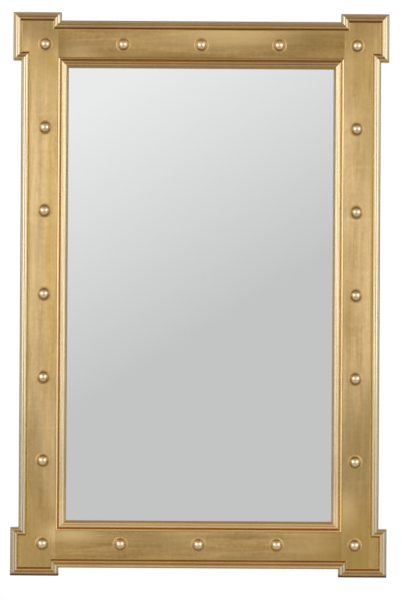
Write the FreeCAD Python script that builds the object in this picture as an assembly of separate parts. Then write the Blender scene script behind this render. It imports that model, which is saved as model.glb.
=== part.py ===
import FreeCAD, Part
import math
import os

# A rectangular wall mirror: a flat gilded frieze with square eared corners, a double-bead moulding
# mitred round the eared outline, a sight moulding that holds the pane, and a row of dome studs.
# Millimetres. X is to the right, Z is up and the face looks along -Y. The origin is on the wall,
# behind the middle of the pane.

# Outline of the face
OVERALL_WIDTH = 610.0
OVERALL_HEIGHT = 914.0
EAR_SIZE = 78.0
EAR_PROJECTION = 13.2
FACE_WIDTH = 76.8

# Depth, from the wall forwards
BUMPER_THICKNESS = 6.5
BOARD_THICKNESS = 12.0

# Both mouldings in section: a leaning flank, a bead, a reed, then the wall of a quirk. Slopes in degrees.
REED_SLOPE = 45.0
WALL_SLOPE = 78.0
REED_FALL_RADIUS = 1.75
OUTER_EDGE_HEIGHT = 2.2
OUTER_FLANK_WIDTH = 1.8
OUTER_FLANK_SLOPE = 62.0
OUTER_NOSE_RADIUS = 0.9
OUTER_BEAD_RADIUS = 6.25
OUTER_BEAD_SLOPE = 46.0
OUTER_REED_RADIUS = 3.6
OUTER_EASE_RADIUS = 1.4
OUTER_FLAT_WIDTH = 1.0
SIGHT_EDGE_HEIGHT = 2.0
SIGHT_FLANK_WIDTH = 3.5
SIGHT_FLANK_SLOPE = 48.0
INNER_NOSE_RADIUS = 2.2
INNER_BEAD_RADIUS = 2.7
INNER_BEAD_SLOPE = 50.0
INNER_REED_RADIUS = 3.3
INNER_QUIRK_DEPTH = 1.9
INNER_QUIRK_RISE = 1.0
FILLET_BEAD_RADIUS = 1.8
FILLET_BEAD_PROUD = 1.0

# Pane and what holds it in the rabbet
RABBET_WIDTH = 8.0
PANE_CLEARANCE = 1.0
PANE_THICKNESS = 5.0
PANE_ARRIS = 0.6
TAPE_THICKNESS = 0.5
TAPE_WIDTH = 5.0
FOAM_WIDTH = 9.0
STRIP_END_GAP = 0.5

# Backing board and its countersunk screws
BACKING_THICKNESS = 3.0
BACKING_OVERLAP = 11.6
BACKING_CORNER_RADIUS = 6.0
BACKING_SCREW_INSET = 5.6
BACKING_SCREWS_DOWN = 4
BACKING_SCREWS_ACROSS = 3
BACKING_SCREW_RADIUS = 1.5
BACKING_SCREW_HEAD_RADIUS = 3.0
BACKING_SCREW_BITE = 7.0

# Dowelled butt joints
DOWEL_RADIUS = 3.0
DOWEL_LENGTH = 30.0
DOWEL_SPACING = 22.0
DOWEL_CHAMFER = 0.8
DOWEL_END_GAP = 0.5

# Dome studs
STUDS_ACROSS = 5
STUDS_DOWN = 7
STUD_DOME_RADIUS = 9.0
STUD_DOME_HEIGHT = 8.3
STUD_COLLAR_RADIUS = 12.0
STUD_COLLAR_EDGE = 0.3
STUD_COLLAR_HEIGHT = 1.2
STUD_SHANK_RADIUS = 1.5
STUD_SHANK_LENGTH = 8.0

# Hangers: a strap folded round the straight side of a wire ring
STRAP_WIDTH = 13.0
STRAP_THICKNESS = 1.2
STRAP_CORNER_RADIUS = 5.0
FOLD_LENGTH = 6.0
RING_WIRE_RADIUS = 1.5
RING_INNER_WIDTH = 19.0
RING_INNER_HEIGHT = 14.5
RING_BEND_RADIUS = 3.0
RING_HINGE_CLEARANCE = 0.08
HANGER_SCREW_RADIUS = 1.6
HANGER_SCREW_HEAD_RADIUS = 3.2
HANGER_SCREW_HEAD_HEIGHT = 2.0
HANGER_SCREW_BITE = 8.0
HANGER_SCREW_DROP = 11.5
HANGER_SCREW_SPACING = 14.5
HANGER_END_MARGIN = 7.0
HANGER_CLEARANCE = 3.0
# The bay between two studs that holds a strap, counted upwards from the middle stud
HANGER_BAY = 2

# Wall bumpers
BUMPER_RADIUS = 8.0
BUMPER_ROUNDING = 1.0
BUMPER_INSET = 38.0

# Fits
HOLE_CLEARANCE = 0.05
CUT_MARGIN = 5.0

# The four corners of the frame: name, side along X, side along Z
CORNERS = [
    ("top_right", 1, 1),
    ("bottom_right", 1, -1),
    ("bottom_left", -1, -1),
    ("top_left", -1, 1),
]


def rounded(start, radius, slope_in, slope_out):
    """The arc step of a crown that meets its start at one slope and leaves at a lower one, in radians."""

    def at(slope):
        across = start[0] + radius * (math.sin(slope_in) - math.sin(slope))
        return (across, start[1] + radius * (math.cos(slope) - math.cos(slope_in)))

    return (at((slope_in + slope_out) / 2), at(slope_out))


def double_bead(flank_end, flank, nose_radius, bead_radius, bead_slope, reed_radius, floor):
    """Steps over bead and reed from the end of a sloping flank, and down the quirk's wall to its floor."""
    wall = math.radians(WALL_SLOPE)
    crowns = [
        (nose_radius, flank, 0),
        (bead_radius, 0, -math.radians(bead_slope)),
        (reed_radius, math.radians(REED_SLOPE), 0),
        (REED_FALL_RADIUS, 0, -wall),
    ]
    here = flank_end
    steps = []
    for crown in crowns:
        steps.append(rounded(here, *crown))
        here = steps[-1][-1]
    steps.append(((here[0] + (here[1] - floor) / math.tan(wall), floor),))
    return steps


def half_round(start, spring, radius):
    """The arc step of a half-round bead that springs at one height on both sides."""
    return ((start + radius, spring + radius), (start + 2 * radius, spring))


def quarter_round(centre, radius, side):
    """The arc step that turns a rising wall into a level top, with the wall on the given side."""
    lean = radius * math.cos(math.pi / 4)
    middle = (centre[0] + side * lean, centre[1] + lean)
    return (middle, (centre[0], centre[1] + radius))


def outer_profile():
    """The outer moulding in section: distance in from the outer edge, height above the frieze."""
    flank = math.radians(OUTER_FLANK_SLOPE)
    flank_end = (OUTER_FLANK_WIDTH, OUTER_EDGE_HEIGHT + OUTER_FLANK_WIDTH * math.tan(flank))
    crowns = (OUTER_NOSE_RADIUS, OUTER_BEAD_RADIUS, OUTER_BEAD_SLOPE, OUTER_REED_RADIUS)
    beads = double_bead(flank_end, flank, *crowns, -OUTER_EASE_RADIUS)
    ease_end = beads[-1][-1][0] + OUTER_EASE_RADIUS
    width = ease_end + OUTER_FLAT_WIDTH
    start = (0, -BOARD_THICKNESS)
    steps = [((0, OUTER_EDGE_HEIGHT),), (flank_end,)] + beads + [
        quarter_round((ease_end, -OUTER_EASE_RADIUS), OUTER_EASE_RADIUS, -1),
        ((width, 0),),
        ((width, -BOARD_THICKNESS),),
    ]
    return start, steps


def inner_profile():
    """The sight moulding in section: distance out from the sight edge, height above the frieze."""
    flank = math.radians(SIGHT_FLANK_SLOPE)
    flank_end = (SIGHT_FLANK_WIDTH, SIGHT_EDGE_HEIGHT + SIGHT_FLANK_WIDTH * math.tan(flank))
    crowns = (INNER_NOSE_RADIUS, INNER_BEAD_RADIUS, INNER_BEAD_SLOPE, INNER_REED_RADIUS)
    beads = double_bead(flank_end, flank, *crowns, -INNER_QUIRK_DEPTH)
    quirk_end = beads[-1][-1][0] + INNER_QUIRK_RISE
    fillet_spring = FILLET_BEAD_PROUD - FILLET_BEAD_RADIUS
    start = (0, 0)
    steps = [((0, SIGHT_EDGE_HEIGHT),), (flank_end,)] + beads + [
        ((quirk_end, fillet_spring),),
        half_round(quirk_end, fillet_spring, FILLET_BEAD_RADIUS),
        ((quirk_end + 2 * FILLET_BEAD_RADIUS, -BOARD_THICKNESS),),
        ((RABBET_WIDTH, -BOARD_THICKNESS),),
        ((RABBET_WIDTH, 0),),
    ]
    return start, steps


def profile_width(profile):
    _, steps = profile
    return max(step[-1][0] for step in steps)


# Worked out from the sizes above
BACK_Y = -BUMPER_THICKNESS
FRIEZE_Y = BACK_Y - BOARD_THICKNESS
OUTER_WIDTH = profile_width(outer_profile())
INNER_WIDTH = profile_width(inner_profile())
STRAIGHT_HALF_WIDTH = OVERALL_WIDTH / 2 - EAR_PROJECTION
STRAIGHT_HALF_HEIGHT = OVERALL_HEIGHT / 2 - EAR_PROJECTION
SIGHT_HALF_WIDTH = STRAIGHT_HALF_WIDTH - FACE_WIDTH
SIGHT_HALF_HEIGHT = STRAIGHT_HALF_HEIGHT - FACE_WIDTH
BOARD_INNER_X = SIGHT_HALF_WIDTH + INNER_WIDTH
BOARD_INNER_Z = SIGHT_HALF_HEIGHT + INNER_WIDTH
RAIL_OUTER_Z = STRAIGHT_HALF_HEIGHT - OUTER_WIDTH
STUD_LINE_X = STRAIGHT_HALF_WIDTH - FACE_WIDTH / 2
STUD_LINE_Z = STRAIGHT_HALF_HEIGHT - FACE_WIDTH / 2
STUD_PITCH_ACROSS = 2 * STUD_LINE_X / (STUDS_ACROSS - 1)
STUD_PITCH_DOWN = 2 * STUD_LINE_Z / (STUDS_DOWN - 1)
PANE_HALF_WIDTH = SIGHT_HALF_WIDTH + RABBET_WIDTH - PANE_CLEARANCE
PANE_HALF_HEIGHT = SIGHT_HALF_HEIGHT + RABBET_WIDTH - PANE_CLEARANCE
PANE_FRONT_Y = FRIEZE_Y + TAPE_THICKNESS
PANE_BACK_Y = PANE_FRONT_Y + PANE_THICKNESS
BACKING_HALF_WIDTH = BOARD_INNER_X + BACKING_OVERLAP
BACKING_HALF_HEIGHT = BOARD_INNER_Z + BACKING_OVERLAP
LOOP_INNER_RADIUS = RING_WIRE_RADIUS + RING_HINGE_CLEARANCE
LOOP_OUTER_RADIUS = LOOP_INNER_RADIUS + STRAP_THICKNESS
# Angle round the ring at which the strap leaves it, in line with the end of the fold
LOOP_LEAVING = 2 * math.atan2(FOLD_LENGTH, LOOP_INNER_RADIUS) - math.pi
STRAP_LENGTH = HANGER_SCREW_DROP + HANGER_SCREW_SPACING + HANGER_END_MARGIN
RING_AXIS_Y = BACK_Y + LOOP_OUTER_RADIUS
HANGER_X = BACKING_HALF_WIDTH + HANGER_CLEARANCE + RING_INNER_WIDTH / 2 + 2 * RING_WIRE_RADIUS
# The middle of a strap's two screws is half way along its bay, clear of the studs' shanks
RING_AXIS_Z = (HANGER_BAY - 1 / 2) * STUD_PITCH_DOWN + HANGER_SCREW_DROP + HANGER_SCREW_SPACING / 2


def vector(x, y, z):
    return FreeCAD.Vector(x, y, z)


def wire_through(start, steps, place):
    """Close a wire from straight steps, given by an end, and arc steps, given by a middle and an end."""
    edges = []
    here = start
    for step in steps:
        points = [place(at) for at in (here,) + step]
        curve = Part.Arc(*points) if len(step) == 2 else Part.LineSegment(*points)
        edges.append(curve.toShape())
        here = step[-1]
    edges.append(Part.LineSegment(place(here), place(start)).toShape())
    return Part.Wire(edges)


def plate(corners, front_y, thickness):
    """A flat plate from corners in X and Z."""
    wire = Part.makePolygon([vector(x, front_y, z) for x, z in corners + corners[:1]])
    return Part.Face(wire).extrude(vector(0, thickness, 0))


def block(low_x, high_x, low_z, high_z, front_y, thickness):
    return Part.makeBox(high_x - low_x, thickness, high_z - low_z, vector(low_x, front_y, low_z))


def turned(start, steps, x, base_y, z, outward):
    """A turned piece from a half profile of radius and height, with height measured along Y."""
    wire = wire_through(start, steps, lambda at: vector(at[0], outward * at[1], 0))
    solid = Part.Face(wire).revolve(vector(0, 0, 0), vector(0, 1, 0), 360)
    return solid.translated(vector(x, base_y, z))


def eared_outline(inset):
    """Corners of the eared outline, moved inwards, clockwise from the top edge of the first corner.

    Each corner gives its two notch points, its tip and the two points between.
    """
    ear = EAR_SIZE - 2 * inset
    outline = []
    for _, side_x, side_z in CORNERS:
        tip_x = OVERALL_WIDTH / 2 - inset
        tip_z = OVERALL_HEIGHT / 2 - inset
        points = [
            (tip_x - ear, tip_z - EAR_PROJECTION),
            (tip_x - ear, tip_z),
            (tip_x, tip_z),
            (tip_x, tip_z - ear),
            (tip_x - EAR_PROJECTION, tip_z - ear),
        ]
        if side_x != side_z:
            points.reverse()
        outline += [(side_x * x, side_z * z) for x, z in points]
    return outline


def sight_outline(offset):
    """Corners of the sight rectangle, moved outwards."""
    half_x = SIGHT_HALF_WIDTH + offset
    half_z = SIGHT_HALF_HEIGHT + offset
    return [(side_x * half_x, side_z * half_z) for _, side_x, side_z in CORNERS]


def mitred_length(near, far, profile):
    """One length of moulding, cut along the mitre lines that join its near and far corners."""
    (start_x, start_z), (end_x, end_z) = near
    run = vector(end_x - start_x, 0, end_z - start_z)
    length = run.Length
    along = run * (1 / length)
    mitre_start = vector(far[0][0] - start_x, 0, far[0][1] - start_z)
    across = mitre_start - along * mitre_start.dot(along)
    width = across.Length
    across = across * (1 / width)
    origin = vector(start_x, FRIEZE_Y, start_z) - along * width - along * CUT_MARGIN

    def place(at):
        return origin + across * at[0] + vector(0, -at[1], 0)

    stick = Part.Face(wire_through(*profile, place)).extrude(along * (length + 2 * width + 2 * CUT_MARGIN))
    stretch = CUT_MARGIN / width
    sides = []
    for inner, outer in zip(near, far):
        reach_x = stretch * (outer[0] - inner[0])
        reach_z = stretch * (outer[1] - inner[1])
        sides.append([(inner[0] - reach_x, inner[1] - reach_z), (outer[0] + reach_x, outer[1] + reach_z)])
    footprint = [sides[0][0], sides[1][0], sides[1][1], sides[0][1]]
    depth = stick.BoundBox.YLength + 2 * CUT_MARGIN
    mitre_cut = plate(footprint, stick.BoundBox.YMin - CUT_MARGIN, depth)
    return stick.common(mitre_cut).Solids[0]


def mitred_run(near, far, names, profile):
    """A closed run of mitred lengths, one for each side of the outline."""
    nodes = {}
    for index, name in enumerate(names):
        after = (index + 1) % len(names)
        nodes[name] = mitred_length((near[index], near[after]), (far[index], far[after]), profile)
    return nodes


def outer_mouldings():
    """Straight lengths between the ears, and four short lengths round each ear."""
    names = []
    straights = ["right", "bottom", "left", "top"]
    for (corner, side_x, side_z), straight in zip(CORNERS, straights):
        lengths = ["rail_return", "cap", "side", "stile_return"]
        if side_x != side_z:
            lengths.reverse()
        names += [f"ear_{corner}_{length}" for length in lengths]
        names.append(f"outer_moulding_{straight}")
    return mitred_run(eared_outline(0), eared_outline(OUTER_WIDTH), names, outer_profile())


def inner_mouldings():
    names = [f"inner_moulding_{side}" for side in ("right", "bottom", "left", "top")]
    return mitred_run(sight_outline(0), sight_outline(INNER_WIDTH), names, inner_profile())


def stud_places():
    """Stud centres round the middle of the face, with the corner studs shared by both rows."""
    places = []
    for side in (-1, 1):
        for index in range(STUDS_ACROSS):
            places.append((index * STUD_PITCH_ACROSS - STUD_LINE_X, side * STUD_LINE_Z))
        for index in range(1, STUDS_DOWN - 1):
            places.append((side * STUD_LINE_X, index * STUD_PITCH_DOWN - STUD_LINE_Z))
    return places


def dome_stud(x, z):
    """A domed head on a sloping collar, with a pointed shank that is driven into the frieze."""
    sphere = (STUD_DOME_RADIUS ** 2 + STUD_DOME_HEIGHT ** 2) / (2 * STUD_DOME_HEIGHT)
    top = STUD_COLLAR_HEIGHT + STUD_DOME_HEIGHT
    half_angle = math.atan2(STUD_DOME_RADIUS, sphere - STUD_DOME_HEIGHT) / 2
    dome_middle = (sphere * math.sin(half_angle), top - sphere + sphere * math.cos(half_angle))
    start = (0, -STUD_SHANK_LENGTH)
    steps = [
        ((STUD_SHANK_RADIUS, STUD_SHANK_RADIUS - STUD_SHANK_LENGTH),),
        ((STUD_SHANK_RADIUS, 0),),
        ((STUD_COLLAR_RADIUS, 0),),
        ((STUD_COLLAR_RADIUS, STUD_COLLAR_EDGE),),
        ((STUD_DOME_RADIUS, STUD_COLLAR_HEIGHT),),
        (dome_middle, (0, top)),
    ]
    return turned(start, steps, x, FRIEZE_Y, z, -1)


def stud_hole(x, z):
    radius = STUD_SHANK_RADIUS + HOLE_CLEARANCE
    depth = STUD_SHANK_LENGTH + HOLE_CLEARANCE
    return Part.makeCylinder(radius, depth, vector(x, FRIEZE_Y, z), vector(0, 1, 0))


def dowel_places():
    """Dowel centres: two in each butt joint, at half the board's thickness."""
    middle_z = (BOARD_INNER_Z + RAIL_OUTER_Z) / 2
    middle_y = (BACK_Y + FRIEZE_Y) / 2
    places = []
    for _, side_x, side_z in CORNERS:
        for step in (-1, 1):
            z = side_z * (middle_z + step * DOWEL_SPACING / 2)
            places.append(vector(side_x * BOARD_INNER_X, middle_y, z))
    return places


def dowel_cylinder(centre, radius, length):
    return Part.makeCylinder(radius, length, centre - vector(length / 2, 0, 0), vector(1, 0, 0))


def corner_dowel(centre):
    dowel = dowel_cylinder(centre, DOWEL_RADIUS, DOWEL_LENGTH)
    rims = [edge for edge in dowel.Edges if isinstance(edge.Curve, Part.Circle)]
    return dowel.makeChamfer(DOWEL_CHAMFER, rims)


def dowel_hole(centre):
    return dowel_cylinder(centre, DOWEL_RADIUS + HOLE_CLEARANCE, DOWEL_LENGTH + 2 * DOWEL_END_GAP)


def backing_screw_places():
    """Screw centres round the backing board, evenly spread and kept out of its corners."""
    line_x = BACKING_HALF_WIDTH - BACKING_SCREW_INSET
    line_z = BACKING_HALF_HEIGHT - BACKING_SCREW_INSET
    places = []
    for side in (-1, 1):
        for index in range(BACKING_SCREWS_DOWN):
            share = (2 * index + 1) / BACKING_SCREWS_DOWN - 1
            places.append((side * line_x, share * BACKING_HALF_HEIGHT))
        for index in range(BACKING_SCREWS_ACROSS):
            share = (2 * index + 1) / BACKING_SCREWS_ACROSS - 1
            places.append((share * BACKING_HALF_WIDTH, side * line_z))
    return places


def backing_screw(x, z, clearance):
    """A countersunk screw, or with a clearance the hole that it fills."""
    radius = BACKING_SCREW_RADIUS + clearance
    head = BACKING_SCREW_HEAD_RADIUS + clearance
    tip = -BACKING_THICKNESS - BACKING_SCREW_BITE - clearance
    steps = [
        ((radius, tip + radius),),
        ((radius, radius - head),),
        ((head, 0),),
        ((0, 0),),
    ]
    return turned((0, tip), steps, x, BACK_Y + BACKING_THICKNESS, z, 1)


def hanger_screw_places(side):
    """The two screws of a strap, below the ring."""
    first = RING_AXIS_Z - HANGER_SCREW_DROP
    return [(side * HANGER_X, first), (side * HANGER_X, first - HANGER_SCREW_SPACING)]


def hanger_screw(x, z):
    """A pan-head screw that holds both layers of the strap to the stile."""
    tip = -2 * STRAP_THICKNESS - HANGER_SCREW_BITE
    rounding = HANGER_SCREW_HEAD_HEIGHT / 2
    land = HANGER_SCREW_HEAD_RADIUS - rounding
    start = (0, tip)
    steps = [
        ((HANGER_SCREW_RADIUS, tip + HANGER_SCREW_RADIUS),),
        ((HANGER_SCREW_RADIUS, 0),),
        ((HANGER_SCREW_HEAD_RADIUS, 0),),
        ((HANGER_SCREW_HEAD_RADIUS, HANGER_SCREW_HEAD_HEIGHT - rounding),),
        quarter_round((land, HANGER_SCREW_HEAD_HEIGHT - rounding), rounding, 1),
        ((0, HANGER_SCREW_HEAD_HEIGHT),),
    ]
    return turned(start, steps, x, BACK_Y + 2 * STRAP_THICKNESS, z, 1)


def hanger_screw_hole(x, z):
    radius = HANGER_SCREW_RADIUS + HOLE_CLEARANCE
    depth = 2 * STRAP_THICKNESS + HANGER_SCREW_BITE + HOLE_CLEARANCE
    top = vector(x, BACK_Y + 2 * STRAP_THICKNESS, z)
    return Part.makeCylinder(radius, depth, top, vector(0, -1, 0))


def board_holes():
    """Everything that is bored into the frame boards."""
    holes = [stud_hole(x, z) for x, z in stud_places()]
    holes += [dowel_hole(centre) for centre in dowel_places()]
    holes += [backing_screw(x, z, HOLE_CLEARANCE) for x, z in backing_screw_places()]
    for side in (-1, 1):
        holes += [hanger_screw_hole(x, z) for x, z in hanger_screw_places(side)]
    return holes


def frame_boards():
    """Two full-height stiles with the eared ends, and two rails butted between them."""
    blank = plate(eared_outline(OUTER_WIDTH), FRIEZE_Y, BOARD_THICKNESS)
    front = FRIEZE_Y - CUT_MARGIN
    depth = BOARD_THICKNESS + 2 * CUT_MARGIN
    holes = board_holes()
    boards = {}
    for name, side in (("left", -1), ("right", 1)):
        reach = sorted((side * BOARD_INNER_X, side * OVERALL_WIDTH))
        zone = block(*reach, -OVERALL_HEIGHT, OVERALL_HEIGHT, front, depth)
        boards[f"frame_stile_{name}"] = blank.common(zone).cut(holes).Solids[0]
    for name, side in (("bottom", -1), ("top", 1)):
        reach = sorted((side * BOARD_INNER_Z, side * OVERALL_HEIGHT))
        zone = block(-BOARD_INNER_X, BOARD_INNER_X, *reach, front, depth)
        boards[f"frame_rail_{name}"] = blank.common(zone).cut(holes).Solids[0]
    return boards


def mirror_pane():
    """The pane, with its ground front and back arrises."""
    pane = block(
        -PANE_HALF_WIDTH, PANE_HALF_WIDTH, -PANE_HALF_HEIGHT, PANE_HALF_HEIGHT,
        PANE_FRONT_Y, PANE_THICKNESS,
    )
    return pane.makeChamfer(PANE_ARRIS, [edge for edge in pane.Edges if edge.BoundBox.YLength < PANE_ARRIS])


def edge_strips(half_width, half_height, width, front_y, thickness):
    """Four strips laid inside a rectangle: two across, and two between them with a gap at each end."""
    strips = []
    side_half_height = half_height - width - STRIP_END_GAP
    for side in (-1, 1):
        low_z, high_z = sorted((side * half_height, side * (half_height - width)))
        strips.append(block(-half_width, half_width, low_z, high_z, front_y, thickness))
        low_x, high_x = sorted((side * half_width, side * (half_width - width)))
        strips.append(block(low_x, high_x, -side_half_height, side_half_height, front_y, thickness))
    return Part.makeCompound(strips)


def glazing_tape():
    half_width = SIGHT_HALF_WIDTH + (RABBET_WIDTH - PANE_CLEARANCE + TAPE_WIDTH) / 2
    half_height = SIGHT_HALF_HEIGHT + (RABBET_WIDTH - PANE_CLEARANCE + TAPE_WIDTH) / 2
    return edge_strips(half_width, half_height, TAPE_WIDTH, FRIEZE_Y, TAPE_THICKNESS)


def foam_strips():
    thickness = BACK_Y - PANE_BACK_Y
    return edge_strips(PANE_HALF_WIDTH, PANE_HALF_HEIGHT, FOAM_WIDTH, PANE_BACK_Y, thickness)


def backing_board():
    """The thin board screwed over the back of the rabbet."""
    board = block(
        -BACKING_HALF_WIDTH, BACKING_HALF_WIDTH, -BACKING_HALF_HEIGHT, BACKING_HALF_HEIGHT,
        BACK_Y, BACKING_THICKNESS,
    )
    corners = [edge for edge in board.Edges if edge.BoundBox.YLength > BACKING_THICKNESS / 2]
    board = board.makeFillet(BACKING_CORNER_RADIUS, corners)
    holes = [backing_screw(x, z, HOLE_CLEARANCE) for x, z in backing_screw_places()]
    return board.cut(holes).Solids[0]


def loop_point(radius, angle):
    """A point on the strap's loop: Y, and Z from the ring's axis."""
    return (RING_AXIS_Y + radius * math.cos(angle), radius * math.sin(angle))


def strap_side_view():
    """The folded strap seen from the side, without the eye."""
    layers = BACK_Y + 2 * STRAP_THICKNESS
    fold_end = -FOLD_LENGTH + STRAP_THICKNESS * math.tan(LOOP_LEAVING / 2)
    start = (BACK_Y, -STRAP_LENGTH)
    steps = [
        ((BACK_Y, 0),),
        (loop_point(LOOP_OUTER_RADIUS, math.pi / 2), loop_point(LOOP_OUTER_RADIUS, LOOP_LEAVING)),
        ((layers, fold_end),),
        ((layers, -STRAP_LENGTH),),
    ]
    return start, steps


def strap_eye():
    """The drop-shaped eye that the fold leaves round the ring's straight side."""
    start = loop_point(LOOP_INNER_RADIUS, math.pi)
    steps = [
        (loop_point(LOOP_INNER_RADIUS, math.pi / 2), loop_point(LOOP_INNER_RADIUS, LOOP_LEAVING)),
        ((BACK_Y + STRAP_THICKNESS, -FOLD_LENGTH),),
    ]
    return start, steps


def strap_front_view(side):
    """The strap seen from behind the frame, with its two lower corners rounded."""
    half = STRAP_WIDTH / 2
    low = -STRAP_LENGTH
    lean = STRAP_CORNER_RADIUS * (1 - math.cos(math.pi / 4))
    start = (-half, LOOP_OUTER_RADIUS + CUT_MARGIN)
    steps = [
        ((half, LOOP_OUTER_RADIUS + CUT_MARGIN),),
        ((half, low + STRAP_CORNER_RADIUS),),
        ((half - lean, low + lean), (half - STRAP_CORNER_RADIUS, low)),
        ((STRAP_CORNER_RADIUS - half, low),),
        ((lean - half, low + lean), (-half, low + STRAP_CORNER_RADIUS)),
    ]
    wire = wire_through(start, steps, lambda at: vector(side * HANGER_X + at[0], BACK_Y, RING_AXIS_Z + at[1]))
    return Part.Face(wire).extrude(vector(0, 2 * LOOP_OUTER_RADIUS, 0))


def hanger_strap(side):
    """A strip folded back on itself round the ring, with the layers lying together under two screws."""
    left = side * HANGER_X - STRAP_WIDTH / 2 - CUT_MARGIN
    across = vector(STRAP_WIDTH + 2 * CUT_MARGIN, 0, 0)

    def place(at):
        return vector(left, at[0], RING_AXIS_Z + at[1])

    folded = Part.Face(wire_through(*strap_side_view(), place)).extrude(across)
    eye = Part.Face(wire_through(*strap_eye(), place)).extrude(across)
    holes = [hanger_screw_hole(x, z) for x, z in hanger_screw_places(side)]
    return folded.common(strap_front_view(side)).cut([eye] + holes).Solids[0]


def wire_length(start, end):
    """A straight length of the ring's wire."""
    run = end - start
    return Part.makeCylinder(RING_WIRE_RADIUS, run.Length, start, run)


def wire_bend(start, direction, centre, angle):
    """A bend of the ring's wire, turned about a centre in the plane of the ring."""
    section = Part.Face(Part.Wire(Part.Circle(start, direction, RING_WIRE_RADIUS).toShape()))
    return section.revolve(centre, vector(0, -1, 0), angle)


def hanger_ring(side):
    """A closed wire ring: a straight side held in the strap, two bends, two sides and a round top."""
    half = RING_INNER_WIDTH / 2 + RING_WIRE_RADIUS
    height = RING_INNER_HEIGHT + 2 * RING_WIRE_RADIUS
    axis = vector(side * HANGER_X, RING_AXIS_Y, RING_AXIS_Z)
    bar_end = half - RING_BEND_RADIUS
    shoulder = height - half
    along_x = vector(1, 0, 0)
    along_z = vector(0, 0, 1)
    wires = [wire_length(axis - along_x * bar_end, axis + along_x * bar_end)]
    for hand in (-1, 1):
        bar_tip = axis + along_x * (hand * bar_end)
        foot = axis + along_x * (hand * half) + along_z * RING_BEND_RADIUS
        wires.append(wire_bend(bar_tip, along_x, bar_tip + along_z * RING_BEND_RADIUS, hand * 90))
        wires.append(wire_length(foot, axis + along_x * (hand * half) + along_z * shoulder))
    crown = axis + along_z * shoulder
    wires.append(wire_bend(crown + along_x * half, along_z, crown, 180))
    return wires[0].fuse(wires[1:]).Solids[0]


def wall_bumper(x, z):
    """A round rubber pad with an eased rim on the side that meets the wall."""
    land = BUMPER_RADIUS - BUMPER_ROUNDING
    start = (0, 0)
    steps = [
        ((BUMPER_RADIUS, 0),),
        ((BUMPER_RADIUS, BUMPER_THICKNESS - BUMPER_ROUNDING),),
        quarter_round((land, BUMPER_THICKNESS - BUMPER_ROUNDING), BUMPER_ROUNDING, 1),
        ((0, BUMPER_THICKNESS),),
    ]
    return turned(start, steps, x, BACK_Y, z, 1)


def wall_bumpers():
    half_x = OVERALL_WIDTH / 2 - BUMPER_INSET
    half_z = OVERALL_HEIGHT / 2 - BUMPER_INSET
    return Part.makeCompound([wall_bumper(side_x * half_x, side_z * half_z) for _, side_x, side_z in CORNERS])


def all_nodes():
    """Every node of the mirror by name."""
    nodes = frame_boards()
    nodes.update(outer_mouldings())
    nodes.update(inner_mouldings())
    nodes["corner_dowels"] = Part.makeCompound([corner_dowel(centre) for centre in dowel_places()])
    nodes["dome_studs"] = Part.makeCompound([dome_stud(x, z) for x, z in stud_places()])
    nodes["mirror_pane"] = mirror_pane()
    nodes["glazing_tape"] = glazing_tape()
    nodes["foam_strips"] = foam_strips()
    nodes["backing_board"] = backing_board()
    nodes["backing_screws"] = Part.makeCompound([backing_screw(x, z, 0) for x, z in backing_screw_places()])
    hanger_screws = []
    for name, side in (("left", -1), ("right", 1)):
        nodes[f"hanger_strap_{name}"] = hanger_strap(side)
        nodes[f"hanger_ring_{name}"] = hanger_ring(side)
        hanger_screws += [hanger_screw(x, z) for x, z in hanger_screw_places(side)]
    nodes["hanger_screws"] = Part.makeCompound(hanger_screws)
    nodes["wall_bumpers"] = wall_bumpers()
    return nodes


os.makedirs("parts", exist_ok=True)
for node_name, shape in all_nodes().items():
    shape.exportStep(f"parts/{node_name}.step")
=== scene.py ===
import math

import bmesh
import bpy
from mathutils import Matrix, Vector


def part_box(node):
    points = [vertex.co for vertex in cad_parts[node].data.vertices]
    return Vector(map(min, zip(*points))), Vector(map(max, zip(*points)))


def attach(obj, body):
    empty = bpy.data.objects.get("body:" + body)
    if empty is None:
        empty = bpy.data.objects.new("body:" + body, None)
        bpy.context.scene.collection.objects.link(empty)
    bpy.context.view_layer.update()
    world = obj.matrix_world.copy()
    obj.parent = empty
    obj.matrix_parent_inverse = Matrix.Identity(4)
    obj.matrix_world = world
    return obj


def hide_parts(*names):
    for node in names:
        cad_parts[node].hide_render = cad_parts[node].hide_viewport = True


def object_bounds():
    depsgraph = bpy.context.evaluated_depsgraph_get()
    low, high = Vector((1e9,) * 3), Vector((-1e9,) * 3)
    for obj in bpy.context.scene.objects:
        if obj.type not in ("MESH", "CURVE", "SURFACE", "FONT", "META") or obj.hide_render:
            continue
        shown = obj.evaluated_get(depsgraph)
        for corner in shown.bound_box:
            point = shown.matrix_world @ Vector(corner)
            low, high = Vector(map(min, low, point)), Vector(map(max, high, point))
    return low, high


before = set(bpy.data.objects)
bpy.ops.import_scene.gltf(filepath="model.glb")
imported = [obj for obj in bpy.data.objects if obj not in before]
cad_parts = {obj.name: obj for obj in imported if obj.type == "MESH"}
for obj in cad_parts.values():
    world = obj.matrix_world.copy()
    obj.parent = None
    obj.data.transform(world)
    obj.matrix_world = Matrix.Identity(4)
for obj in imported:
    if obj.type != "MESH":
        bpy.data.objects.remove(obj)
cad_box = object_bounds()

# A gilded wall mirror with eared corners and dome studs, in a plain studio.
# Lengths are in metres and angles in radians. X is to the right, the face looks along -Y and Z is up.

# Places that the frame gives
FRIEZE_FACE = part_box("frame_stile_left")[0].y
BOARD_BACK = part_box("frame_stile_left")[1].y
MOULDING_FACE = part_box("outer_moulding_top")[0].y
LOWEST_EDGE = cad_box[0][2]

QUARTER_TURN = math.pi / 2

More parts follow.
